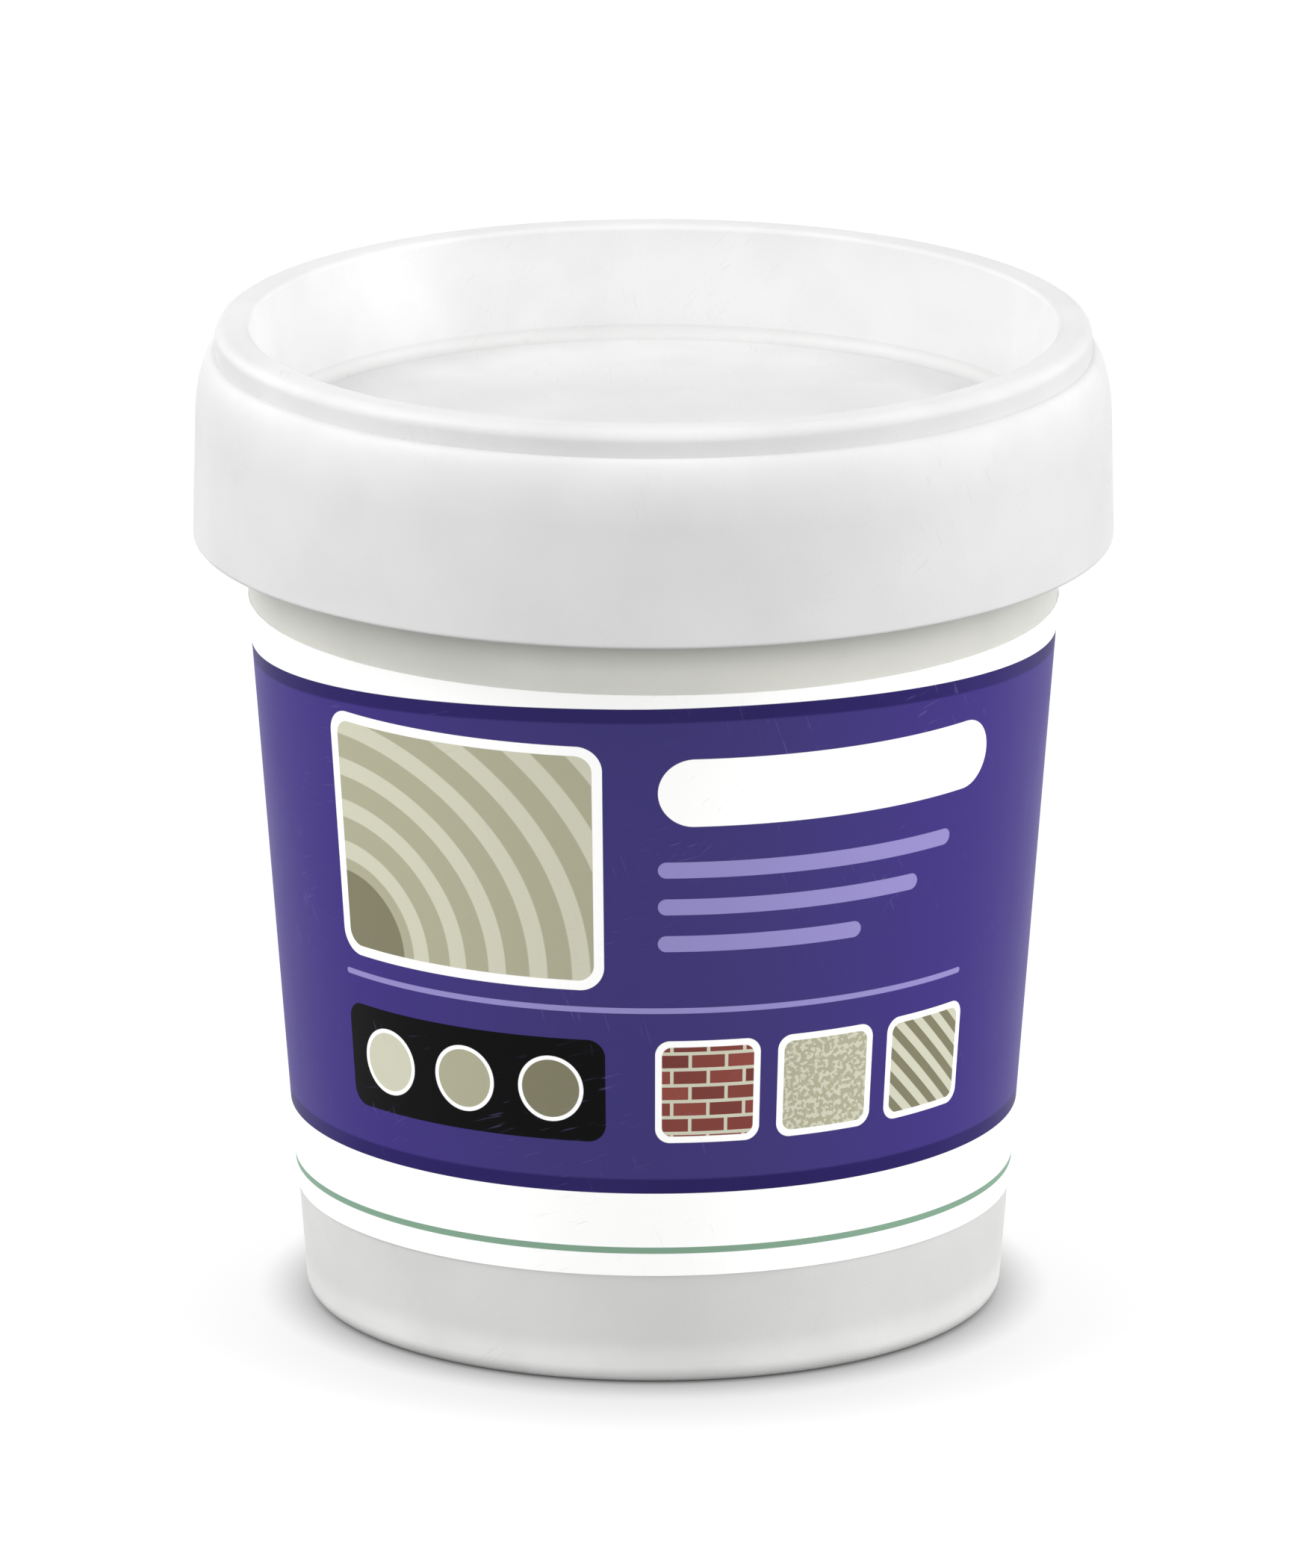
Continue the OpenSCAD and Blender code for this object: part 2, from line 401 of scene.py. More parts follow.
def turned_tree(name, sizes, shape):
    """A tree that turns the outline held in an object's own mesh round Z.

    shape() gets the tree, its inputs, the share of the sweep, the angle, the place on the turned
    surface and the ridge, and gives how far the surface moves out and up there.
    """
    tree = bpy.data.node_groups.new(name, "GeometryNodeTree")
    add_sockets(tree, "INPUT", "NodeSocketGeometry", ["Outline"])
    add_sockets(tree, "INPUT", "NodeSocketMaterial", ["Material"])
    add_sockets(tree, "INPUT", "NodeSocketInt", ["Segments"])
    add_sockets(tree, "INPUT", "NodeSocketFloat", ["Start", "Sweep", *sizes])
    add_sockets(tree, "OUTPUT", "NodeSocketGeometry", ["Piece"])
    given = tree.nodes.new("NodeGroupInput").outputs
    outline = given["Outline"]

    count = node(tree, "GeometryNodeAttributeDomainSize", {"Geometry": outline}).outputs["Point Count"]
    columns = maths(tree, "ADD", given["Segments"], 1)
    grid = node(tree, "GeometryNodeMeshGrid", {"Vertices X": columns, "Vertices Y": count}).outputs["Mesh"]
    index = node(tree, "GeometryNodeInputIndex").outputs["Index"]
    row = maths(tree, "MODULO", index, count)
    column = maths(tree, "FLOOR", maths(tree, "DIVIDE", index, count))
    share = maths(tree, "DIVIDE", column, given["Segments"])
    angle = maths(tree, "MULTIPLY_ADD", share, given["Sweep"], given["Start"])

    def sampled(kind, value):
        inputs = {"Geometry": outline, "Value": value, "Index": row}
        made = node(tree, "GeometryNodeSampleIndex", inputs, data_type=kind, domain="POINT")
        return made.outputs["Value"]

    def named(attribute):
        made = node(tree, "GeometryNodeInputNamedAttribute", {"Name": attribute}, data_type="FLOAT")
        return made.outputs["Attribute"]

    def turned(place):
        inputs = {"Vector": place, "Angle": angle}
        return node(tree, "ShaderNodeVectorRotate", inputs, rotation_type="Z_AXIS").outputs["Vector"]

    flat = sampled("FLOAT_VECTOR", node(tree, "GeometryNodeInputPosition").outputs["Position"])
    ridge = sampled("FLOAT", named("ridge"))
    edge = sampled("FLOAT", named("edge"))
    out, up = shape(tree, given, share, angle, turned(flat), ridge)
    shift = node(tree, "ShaderNodeCombineXYZ", {"X": out, "Z": up}).outputs["Vector"]
    place = turned(vector_maths(tree, "ADD", flat, shift))

    piece = grid
    for kind, inputs in (
        ("GeometryNodeSetPosition", {"Position": place}),
        ("GeometryNodeStoreNamedAttribute", {"Name": "edge", "Value": edge}),
        ("GeometryNodeMergeByDistance", {"Distance": WELD}),
        ("GeometryNodeSetShadeSmooth", {}),
        ("GeometryNodeRealizeInstances", {}),
        ("GeometryNodeSetMaterial", {"Material": given["Material"]}),
    ):
        piece = node(tree, kind, {"Geometry": piece, **inputs}).outputs["Geometry"]
    feed(tree, tree.nodes.new("NodeGroupOutput").inputs["Piece"], piece)
    return tree


def moulding_shape(tree, given, share, angle, place, ridge):
    """Snap catches: stretches of the skirt's inside that stand in, evenly round the turn."""
    turn = maths(tree, "DIVIDE", angle, math.tau)
    phase = maths(tree, "FRACT", maths(tree, "MULTIPLY", turn, given["Catch Count"]))
    off_middle = maths(tree, "ABSOLUTE", maths(tree, "SUBTRACT", phase, 0.5))
    half = maths(tree, "MULTIPLY", given["Catch Share"], 0.5)
    wide = maths(tree, "ADD", half, CATCH_SLOPE)
    tight = maths(tree, "SUBTRACT", half, CATCH_SLOPE)
    return product(tree, remap(tree, off_middle, wide, tight), ridge, -1.0), 0.0


def wrap_shape(tree, given, share, angle, place, ridge):
    """The lap: the last stretch of the sweep climbs over the first."""
    climb = remap(tree, share, given["Lap From"], given["Lap To"])
    return maths(tree, "MULTIPLY", climb, given["Lap Lift"]), 0.0


def swirl_shape(tree, given, share, angle, place, ridge):
    """The spiral that the filling nozzle leaves, softened by slow unevenness."""
    level = levelled(tree, place)
    radius = vector_maths(tree, "LENGTH", level)
    wander = maths(tree, "MULTIPLY", noise(tree, level, SWIRL_SCALE, 2.0), SWIRL_WANDER)
    turns = maths(tree, "ADD", maths(tree, "DIVIDE", radius, given["Swirl Pitch"]), wander)
    wave = maths(tree, "SINE", maths(tree, "MULTIPLY_ADD", turns, math.tau, angle))
    outward = remap(tree, radius, *SWIRL_EYE)
    depth = maths(tree, "MULTIPLY_ADD", maths(tree, "MULTIPLY", wave, outward), 0.5, -0.5)
    return 0.0, product(tree, depth, ridge, given["Swirl Depth"])


def wrinkle_shape(tree, given, share, angle, place, ridge):
    """Soft creases and air pockets of a film laid on paste by hand."""
    level = levelled(tree, place)
    pocket = remap(tree, noise(tree, level, POCKET_SCALE, 1.0), *POCKET_RANGE)
    slanted = vector_maths(tree, "MULTIPLY", level, CREASE_STRETCH)
    off_crest = maths(tree, "SUBTRACT", noise(tree, slanted, CREASE_SCALE, 2.0), 0.5)
    crease = remap(tree, maths(tree, "ABSOLUTE", off_crest), *CREASE_RANGE)
    raised = maths(tree, "MULTIPLY", pocket, POCKET_SHARE)
    height = maths(tree, "MULTIPLY_ADD", crease, CREASE_SHARE, raised)
    return 0.0, maths(tree, "MULTIPLY", height, given["Wrinkle Height"])


def turned_piece(name, outline, tree, material, sizes, start=0.0, sweep=math.tau):
    """A plain mesh object made by turning an outline with one of the trees."""
    mesh = bpy.data.meshes.new(name + "_outline")
    edges = [(i, i + 1) for i in range(len(outline) - 1)]
    mesh.from_pydata([(r, 0, z) for r, z, edge, ridge in outline], edges, [])
    for attribute, column in (("edge", 2), ("ridge", 3)):
        data = mesh.attributes.new(attribute, "FLOAT", "POINT").data
        data.foreach_set("value", [point[column] for point in outline])
    piece = bpy.data.objects.new(name, mesh)
    bpy.context.scene.collection.objects.link(piece)
    modifier = piece.modifiers.new("turned", "NODES")
    modifier.node_group = tree
    wanted = {"Material": material, "Segments": SEGMENTS, "Start": start, "Sweep": sweep, **sizes}
    for socket in tree.interface.items_tree:
        if socket.in_out == "INPUT" and socket.name in wanted:
            modifier[socket.identifier] = wanted[socket.name]
    graph = bpy.context.evaluated_depsgraph_get()
    made = bpy.data.meshes.new_from_object(piece.evaluated_get(graph), depsgraph=graph)
    made.name = name
    piece.modifiers.clear()
    piece.data = made
    close_mesh(made)
    return piece


def close_mesh(mesh):
    """Fills open ends, points the faces outwards and splits the shading at sharp edges."""
    work = bmesh.new()
    work.from_mesh(mesh)
    bmesh.ops.dissolve_degenerate(work, edges=work.edges, dist=WELD / 10)
    bmesh.ops.holes_fill(work, edges=[e for e in work.edges if e.is_boundary], sides=0)
    bmesh.ops.recalc_face_normals(work, faces=work.faces)
    work.to_mesh(mesh)
    work.free()
    mesh.set_sharp_from_angle(angle=SHARP_ANGLE)


def tint(code):
    """A colour written as in a paint program, as the linear values that a shader takes."""
    shares = [int(code[i:i + 2], 16) / 255 for i in (1, 3, 5)]
    linear = [s / 12.92 if s <= 0.04045 else ((s + 0.055) / 1.055) ** 2.4 for s in shares]
    return (*linear, 1.0)


def grey(value):
    """A grey as the linear values that a shader takes."""
    return (value, value, value, 1.0)


# Skin of the plastics and the label: range of the clouds, and weights of clouds and grain in the relief
CLOUD_RANGE = (0.3, 0.7)
CLOUD_RELIEF = 1.6
GRAIN_RELIEF = 0.5

# Hairlines: slants in radians, fineness across and along per metre, and the patches that hold them
HAIRLINE_SLANTS = (0.3, -0.8, 1.9)
HAIRLINE_STRETCH = (2600.0, 260.0, 260.0)
HAIRLINE_RANGE = (0.66, 0.74)
PATCH_SCALE = 60.0
PATCH_RANGE = (0.52, 0.7)

# Plastics: shares of the deeper tone and of the darker tone of rubbed edges, inner corners and scuffs,
# height of the tub's heel band of painted highlight, and the shares of the recess's radius between which
# its paler tone, painted light, comes in
CLOUD_SHARE = 0.35
RUBBED_SHARE = 0.15
INNER_CORNER_SHARE = 0.3
SCUFF_SHARE = 0.25
MARK_LIMIT = 0.6
HEEL_HIGHLIGHT_H = 3 * MM
RECESS_LIGHT_FADE = (0.5, 0.9)

# Colours of the print, and the share of a pale scuff on it
VIOLET = tint("#3e3772")
# Painted light: the shade that the violet turns to towards the sides
PAINTED_SIDE_VIOLET = tint("#3f327b")
DEEP_VIOLET = tint("#211a52")
PALE_VIOLET = tint("#9088c0")
PRINT_WHITE = tint("#fefefd")
PUTTY = tint("#a9a78e")
LIGHT_PUTTY = tint("#c9c8b4")
DARK_PUTTY = tint("#7d7a63")
BRICK_RED = tint("#8c4a42")
DARK_BRICK = tint("#6f3a35")
BLACK = tint("#0b0b0c")
GREEN = tint("#7fa08a")
PRINT_SCUFF_SHARE = 0.22

# Layout of the print in millimetres, across from the middle of the front and up from the lower edge. A bar
# is its centre and half size. Corners are those of a white frame and of the bar in it.
PRINT_EDGE = 0.05

# Violet field with its dark edge, and the green line below it
FIELD_LOW = 10.4
FIELD_HIGH = 71.1
FIELD_DIP = 3.3
FIELD_DIP_SPAN = (5.0, 80.0)
FIELD_TILT = 0.016
# Span across, in millimetres, over which the violet turns to its painted side shade
PAINTED_SIDE_SPAN = (10.0, 46.0)
DARK_EDGE_FADE = (2.0, 1.6)
DARK_EDGE_SHARE = 0.65
DARK_EDGE_CLOUD = 0.2
GREEN_LINE_UP = 3.2
GREEN_LINE_HALF = 0.4

# Putty panel with its rings
PANEL = ((-24.0, 51.0), (17.0, 14.0))
PANEL_FRAME = 1.2
PANEL_CORNERS = (3.0, 2.0)
RING_PITCH = 5.2
RING_FADE = (0.1, 0.35)
CORE_R = 9.1

# Bars beside and below the panel
WHITE_BAR = ((22.5, 60.6), (22.0, 4.2))
PALE_BAR_LENGTHS = (38.0, 33.0, 25.0)
PALE_BAR_LEFT = 0.5
PALE_BAR_TOP = 51.0
PALE_BAR_DROP = 4.6
PALE_BAR_HALF = 1.0
THIN_BAR = ((0.0, 33.4), (42.2, 0.35))

# Low row: black bar with its discs, and the three swatches
LOW_ROW_UP = 23.2
BLACK_BAR = ((-24.0, LOW_ROW_UP), (18.2, 6.4))
BLACK_BAR_CORNER = 2.2
DISC_R = 3.6
DISC_FRAME = 0.5
DISC_PITCH = 11.4
SWATCH_CENTRES = (6.6, 21.6, 36.6)
SWATCH_HALF = 5.6
SWATCH_FRAME = 0.8
SWATCH_CORNERS = (1.8, 1.2)
BRICK_W = 4.4
BRICK_H = 2.0
MORTAR_W = 0.22
STIPPLE_SCALE = 1.6
STIPPLE_RANGE = (0.48, 0.56)
COMB_PITCH = 3.0
COMB_FADE = (-0.1, 0.1)

# Ruled blocks towards the back, and the cut edge of the lap
BLOCK_CENTRES = (-100.0, 100.0)
BLOCK_UP = 42.0
BLOCK_HALF = (24.0, 21.0)
BLOCK_CORNER = 0.2
RULED_PITCH = 3.0
RULED_FADE = (0.34, 0.3)
RAGGED_FROM = 4.0
RAGGED_REACH = 16.8
CUT_EDGE_FADE = (0.4, 0.25)
CUT_EDGE_SHARE = 0.4

# Paste and cover film: colours, noise scales per metre, ranges of noise, roughness and depths of relief
PASTE = tint("#ebe8de")
DULL_PASTE = tint("#dfdbcf")
PIN_HOLE_SHADE = tint("#bdb8aa")
MOTTLE_SCALE = 120.0
MOTTLE_RANGE = (0.35, 0.65)
DRAG_SCALE = 900.0
PIN_HOLE_SCALE = 420.0
PIN_HOLE_RANGE = (0.16, 0.06)
PIN_HOLE_SHADE_SHARE = 0.4
PASTE_ROUGHNESS = 0.45
MOTTLE_ROUGHNESS = 0.25
PASTE_RELIEF = 0.08 * MM
FILM = tint("#eef2f4")
HAZE_SCALE = 90.0
HAZE_RANGE = (0.3, 0.75)
HAZE_ALPHA = (0.2, 0.42)
RIPPLE_SCALE = 260.0
FILM_ROUGHNESS = 0.12
HAZE_ROUGHNESS = 0.15
FILM_RELIEF = 0.12 * MM


def shader_group(name, vectors, values, outputs):
    """An empty shader group with its sockets, and its input and output nodes."""
    tree = bpy.data.node_groups.new(name, "ShaderNodeTree")
    add_sockets(tree, "INPUT", "NodeSocketVector", vectors)
    add_sockets(tree, "INPUT", "NodeSocketFloat", values)
    add_sockets(tree, "OUTPUT", "NodeSocketFloat", outputs)
    return tree, tree.nodes.new("NodeGroupInput").outputs, tree.nodes.new("NodeGroupOutput").inputs


def moulded_skin_group():
    """Skin of a moulded plastic: slow cloudiness, and the fine grain of the mould."""
    tree, given, leave = shader_group("moulded_skin", ["Place"], ["Grain Scale", "Cloud Scale"],
                                      ["Cloud", "Height"])
    cloud = noise(tree, given["Place"], given["Cloud Scale"], 3.0)
    grain = noise(tree, given["Place"], given["Grain Scale"], 2.0)
    feed(tree, leave["Cloud"], remap(tree, cloud, *CLOUD_RANGE))
    slow = maths(tree, "MULTIPLY", cloud, CLOUD_RELIEF)
    feed(tree, leave["Height"], maths(tree, "MULTIPLY_ADD", grain, GRAIN_RELIEF, slow))
    return tree


def handling_marks_group():
    """Marks of handling: short slanting hairlines, each direction gathered in patches of its own."""
    tree, given, leave = shader_group("handling_marks", ["Place"], ["Amount"], ["Scuff"])
    scuff = 0.0
    for slant in HAIRLINE_SLANTS:
        inputs = {"Vector": given["Place"], "Angle": slant}
        turned = node(tree, "ShaderNodeVectorRotate", inputs, rotation_type="Y_AXIS").outputs["Vector"]
        drawn = vector_maths(tree, "MULTIPLY", turned, HAIRLINE_STRETCH)
        hairline = remap(tree, noise(tree, drawn, 1.0, 1.0), *HAIRLINE_RANGE)
        patch = remap(tree, noise(tree, turned, PATCH_SCALE, 2.0), *PATCH_RANGE)
        scuff = maths(tree, "MAXIMUM", scuff, maths(tree, "MULTIPLY", hairline, patch))
    feed(tree, leave["Scuff"], maths(tree, "MULTIPLY", scuff, given["Amount"], clamp=True))
    return tree


def printed_bar_group():
    """Mask of a printed bar with rounded corners, in the label's own millimetres."""
    tree, given, leave = shader_group("printed_bar", ["Place", "Centre", "Half Size"], ["Corner"], ["Mask"])
    off = levelled(tree, vector_maths(tree, "SUBTRACT", given["Place"], given["Centre"]))
    past = vector_maths(tree, "SUBTRACT", vector_maths(tree, "ABSOLUTE", off), given["Half Size"])
    core = node(tree, "ShaderNodeCombineXYZ", {"X": given["Corner"], "Y": given["Corner"]})
    past = vector_maths(tree, "ADD", past, core.outputs["Vector"])
    past = vector_maths(tree, "MAXIMUM", past, (0.0, 0.0, 0.0))
    distance = maths(tree, "SUBTRACT", vector_maths(tree, "LENGTH", past), given["Corner"])
    feed(tree, leave["Mask"], remap(tree, distance, PRINT_EDGE, -PRINT_EDGE))
    return tree


moulded_skin = moulded_skin_group()
handling_marks = handling_marks_group()
printed_bar = printed_bar_group()


def new_material(name):
    material = bpy.data.materials.new(name)
    material.use_nodes = True
    return material, material.node_tree, material.node_tree.nodes["Principled BSDF"]


def grouped(tree, group, inputs):
    """Outputs of a shader group placed in a tree."""
    return node(tree, "ShaderNodeGroup", inputs, node_tree=group).outputs


def mixed(tree, share, under, over):
    """One colour laid over another by a share."""
    made = node(tree, "ShaderNodeMix", {0: share, 6: under, 7: over}, data_type="RGBA")
    return made.outputs[2]


def bumped(tree, shader, height, depth):
    made = node(tree, "ShaderNodeBump", {"Height": height, "Distance": depth})
    feed(tree, shader.inputs["Normal"], made.outputs["Normal"])


def object_place(tree):
    return node(tree, "ShaderNodeTexCoord").outputs["Object"]


def handled_skin(tree, shader, place, grain_scale, cloud_scale, scuffs, roughness, relief):
    """Gives a shader its skin and marks of handling, and returns the masks of the clouds and the scuffs.

    roughness is the plain one, and what the clouds and the scuffs add to it.
    """
    scales = {"Grain Scale": grain_scale, "Cloud Scale": cloud_scale}
    skin = grouped(tree, moulded_skin, {"Place": place, **scales})
    scuff = grouped(tree, handling_marks, {"Place": place, "Amount": scuffs})["Scuff"]
    plain, clouded, scuffed = roughness
    rough = maths(tree, "MULTIPLY_ADD", skin["Cloud"], clouded, plain)
    feed(tree, shader.inputs["Roughness"], maths(tree, "MULTIPLY_ADD", scuff, scuffed, rough))
    bumped(tree, shader, skin["Height"], relief)
    return skin["Cloud"], scuff


def edge_masks(tree):
    """Masks of the outer and the inner corners of a turned piece."""
    edge = node(tree, "ShaderNodeAttribute", attribute_name="edge").outputs["Fac"]
    outer = maths(tree, "MAXIMUM", edge, 0.0)
    inner = maths(tree, "MAXIMUM", maths(tree, "MULTIPLY", edge, -1.0), 0.0)
    return outer, inner


def neck_light_mask(tree, place):
    """1 on the neck and rim of the tub, 0 on its base, changing behind the label; its paler, warmer tone is
    painted light that lifts the shade under the lid.
    """
    return remap(tree, height_of(tree, place), label_low.z, label_high.z)


def heel_highlight_mask(tree, place):
    """1 on the heel of the tub, where a paler tone is a painted highlight."""
    return remap(tree, height_of(tree, place), 2 * HEEL_HIGHLIGHT_H, HEEL_HIGHLIGHT_H)


def recess_light_mask(tree, place):
    """1 on the wall of the lid's recess, fading out across its floor, where a paler tone is painted light
    that brightens the recess.
    """
    radius = vector_maths(tree, "LENGTH", levelled(tree, place))
    mouth_r = plug_in(lid_top_z)
    fade_from, fade_to = RECESS_LIGHT_FADE
    within = remap(tree, radius, mouth_r + EDGE_R, mouth_r - EDGE_R)
    outward = remap(tree, radius, fade_from * mouth_r, fade_to * mouth_r)
    above = remap(tree, height_of(tree, place), panel_z - LID_T, panel_z)
    return product(tree, within, outward, above)


def moulded_plastic(name, pale, deep, mark_tone, roughness, zones):
    """White moulded plastic: cloudy body, fine mould grain, rubbed edges, darker inner corners and a few
    scuffs.

    zones are pairs of a tone and the function that makes the mask of where it lies; the tones given for
    them are painted light.
    """
    material, tree, shader = new_material(name)
    place = object_place(tree)
    cloud, scuff = handled_skin(tree, shader, place, grain_scale=2400.0, cloud_scale=55.0, scuffs=0.8,
                                roughness=(roughness, 0.07, 0.2), relief=0.03 * MM)
    outer, inner = edge_masks(tree)
    body = pale
    for tone, mask in zones:
        body = mixed(tree, mask(tree, place), body, tone)
    body = mixed(tree, maths(tree, "MULTIPLY", cloud, CLOUD_SHARE), body, deep)
    marks = product(tree, outer, cloud, RUBBED_SHARE)
    # Inner corners darker
    marks = maths(tree, "MULTIPLY_ADD", inner, INNER_CORNER_SHARE, marks)
    marks = maths(tree, "MULTIPLY_ADD", scuff, SCUFF_SHARE, marks)
    marks = maths(tree, "MINIMUM", marks, MARK_LIMIT)
    feed(tree, shader.inputs["Base Color"], mixed(tree, marks, body, mark_tone))
    shader.inputs["Specular IOR Level"].default_value = 0.25
    shader.inputs["Subsurface Weight"].default_value = 0.12
    shader.inputs["Subsurface Radius"].default_value = (1.0, 0.95, 0.85)
    shader.inputs["Subsurface Scale"].default_value = 0.8 * MM
    return material


class PrintSheet:
    """The label laid flat, in millimetres, and the colour that its print has so far."""

    def __init__(self, tree, place):
        parts = node(tree, "ShaderNodeSeparateXYZ", {"Vector": place}).outputs
        toward = maths(tree, "MULTIPLY", parts["Y"], -1.0)
        angle = maths(tree, "ARCTAN2", parts["X"], toward)
        height = maths(tree, "SUBTRACT", parts["Z"], label_low.z)
        self.tree = tree
        self.sideways = maths(tree, "MULTIPLY", parts["X"], 1 / MM)
        self.across = maths(tree, "MULTIPLY", angle, label_mid_r / MM)
        self.up = maths(tree, "MULTIPLY", height, 1 / MM)
        self.flat = node(tree, "ShaderNodeCombineXYZ", {"X": self.across, "Y": self.up}).outputs["Vector"]
        self.colour = PRINT_WHITE

    def lay(self, mask, colour):
        """Prints a colour where a mask is 1."""
        self.colour = mixed(self.tree, mask, self.colour, colour)

    def bar(self, centre, half, corner_r):
        """Mask of a bar with rounded corners."""
        return grouped(self.tree, printed_bar, {
            "Place": self.flat,
            "Centre": (*centre, 0.0),
            "Half Size": (*half, 1.0),
            "Corner": corner_r,
        })["Mask"]

    def lay_framed(self, centre, half, margin, corners, colour):
        """Prints a bar in a white frame, and gives the mask of the bar."""
        frame_corner, bar_corner = corners
        self.lay(self.bar(centre, [size + margin for size in half], frame_corner), PRINT_WHITE)
        mask = self.bar(centre, half, bar_corner)
        self.lay(mask, colour)
        return mask


def lay_field(sheet, cloud):
    """Violet field between the white bands, with a dark edge, and the thin green line in the lower band."""
    tree = sheet.tree
    off_middle = maths(tree, "ABSOLUTE", sheet.across)
    dip = remap(tree, off_middle, *FIELD_DIP_SPAN, 0.0, FIELD_DIP)
    level = maths(tree, "SUBTRACT", FIELD_HIGH, dip)
    top_edge = maths(tree, "MULTIPLY_ADD", sheet.sideways, FIELD_TILT, level)
    below_top = maths(tree, "SUBTRACT", top_edge, sheet.up)
    above_low = maths(tree, "SUBTRACT", sheet.up, FIELD_LOW)
    inside = maths(tree, "MINIMUM", below_top, above_low)
    # The violet turns to another shade towards the sides: painted light for how light falls there
    violet = mixed(tree, remap(tree, off_middle, *PAINTED_SIDE_SPAN), VIOLET, PAINTED_SIDE_VIOLET)
    share = maths(tree, "MULTIPLY_ADD", cloud, DARK_EDGE_CLOUD, DARK_EDGE_SHARE)
    dark_edge = product(tree, remap(tree, inside, *DARK_EDGE_FADE), share)
    violet = mixed(tree, dark_edge, violet, DEEP_VIOLET)
    sheet.lay(remap(tree, inside, -PRINT_EDGE, PRINT_EDGE), violet)
    off_line = maths(tree, "ABSOLUTE", maths(tree, "SUBTRACT", sheet.up, GREEN_LINE_UP))
    line = remap(tree, off_line, GREEN_LINE_HALF + PRINT_EDGE, GREEN_LINE_HALF - PRINT_EDGE)
    sheet.lay(line, GREEN)


def lay_panel(sheet):
    """Framed putty panel with quarter rings, like the sweep of a trowel."""
    tree = sheet.tree
    centre, half = PANEL
    panel = sheet.lay_framed(centre, half, PANEL_FRAME, PANEL_CORNERS, PUTTY)
    pivot = (centre[0] - half[0], centre[1] - half[1], 0.0)
    sweep = vector_maths(tree, "DISTANCE", sheet.flat, pivot)
    rings = maths(tree, "SINE", maths(tree, "MULTIPLY", sweep, math.tau / RING_PITCH))
    sheet.lay(product(tree, panel, remap(tree, rings, *RING_FADE)), LIGHT_PUTTY)
    core = remap(tree, sweep, CORE_R + 2 * PRINT_EDGE, CORE_R - 2 * PRINT_EDGE)
    sheet.lay(product(tree, panel, core), DARK_PUTTY)


def lay_bars(sheet):
    """White bar and pale bars beside the panel, and a thin bar below them."""
    centre, half = WHITE_BAR
    sheet.lay(sheet.bar(centre, half, half[1]), PRINT_WHITE)
    for row, length in enumerate(PALE_BAR_LENGTHS):
        middle = (PALE_BAR_LEFT + length / 2, PALE_BAR_TOP - PALE_BAR_DROP * row)
        sheet.lay(sheet.bar(middle, (length / 2, PALE_BAR_HALF), PALE_BAR_HALF), PALE_VIOLET)
    centre, half = THIN_BAR
    sheet.lay(sheet.bar(centre, half, half[1]), PALE_VIOLET)


def lay_discs(sheet):
    """Black bar with three discs in shades of putty."""
    centre, half = BLACK_BAR
    sheet.lay(sheet.bar(centre, half, BLACK_BAR_CORNER), BLACK)
    corners = (DISC_R + DISC_FRAME, DISC_R)
    for i, shade in enumerate((LIGHT_PUTTY, PUTTY, DARK_PUTTY)):
        middle = (centre[0] + (i - 1) * DISC_PITCH, centre[1])
        sheet.lay_framed(middle, (DISC_R, DISC_R), DISC_FRAME, corners, shade)


def lay_swatches(sheet):
    """Three framed swatches: brick courses, stippled plaster and a diagonal comb."""
    tree = sheet.tree
    bricks = node(tree, "ShaderNodeTexBrick", {
        "Vector": sheet.flat, "Color1": BRICK_RED, "Color2": DARK_BRICK, "Mortar": LIGHT_PUTTY,
        "Scale": 1.0, "Mortar Size": MORTAR_W, "Brick Width": BRICK_W, "Row Height": BRICK_H,
    }).outputs["Color"]
    stipple = remap(tree, noise(tree, sheet.flat, STIPPLE_SCALE, 2.0), *STIPPLE_RANGE)
    plaster = mixed(tree, stipple, PUTTY, LIGHT_PUTTY)
    diagonal = maths(tree, "ADD", sheet.across, sheet.up)
    teeth = maths(tree, "SINE", maths(tree, "MULTIPLY", diagonal, math.tau / COMB_PITCH))
    comb = mixed(tree, remap(tree, teeth, *COMB_FADE), DARK_PUTTY, LIGHT_PUTTY)
    half = (SWATCH_HALF, SWATCH_HALF)
    for x, surface in zip(SWATCH_CENTRES, (bricks, plaster, comb)):
        sheet.lay_framed((x, LOW_ROW_UP), half, SWATCH_FRAME, SWATCH_CORNERS, surface)


def lay_ruled_blocks(sheet):
    """Two blocks of plain ruled lines towards the back, with ragged right ends."""
    tree = sheet.tree
    count = maths(tree, "DIVIDE", sheet.up, RULED_PITCH)
    ruled = remap(tree, maths(tree, "FRACT", count), *RULED_FADE)
    row = maths(tree, "FLOOR", count)
    length = node(tree, "ShaderNodeTexWhiteNoise", {"W": row}, noise_dimensions="1D").outputs["Value"]
    for x in BLOCK_CENTRES:
        block = sheet.bar((x, BLOCK_UP), BLOCK_HALF, BLOCK_CORNER)
        end = maths(tree, "MULTIPLY_ADD", length, RAGGED_REACH, x + RAGGED_FROM)
        before_end = maths(tree, "SUBTRACT", end, sheet.across)
        ended = remap(tree, before_end, -2 * PRINT_EDGE, 2 * PRINT_EDGE)
        sheet.lay(product(tree, block, ruled, ended), PALE_VIOLET)


def lay_cut_edge(sheet):
    """Pale cut edge of the film where its outer end laps over."""
    tree = sheet.tree
    lap_end = (LABEL_LAP / 2 - math.pi * label_mid_r) / MM
    off_end = maths(tree, "ABSOLUTE", maths(tree, "SUBTRACT", sheet.across, lap_end))
    sheet.lay(product(tree, remap(tree, off_end, *CUT_EDGE_FADE), CUT_EDGE_SHARE), PRINT_WHITE)


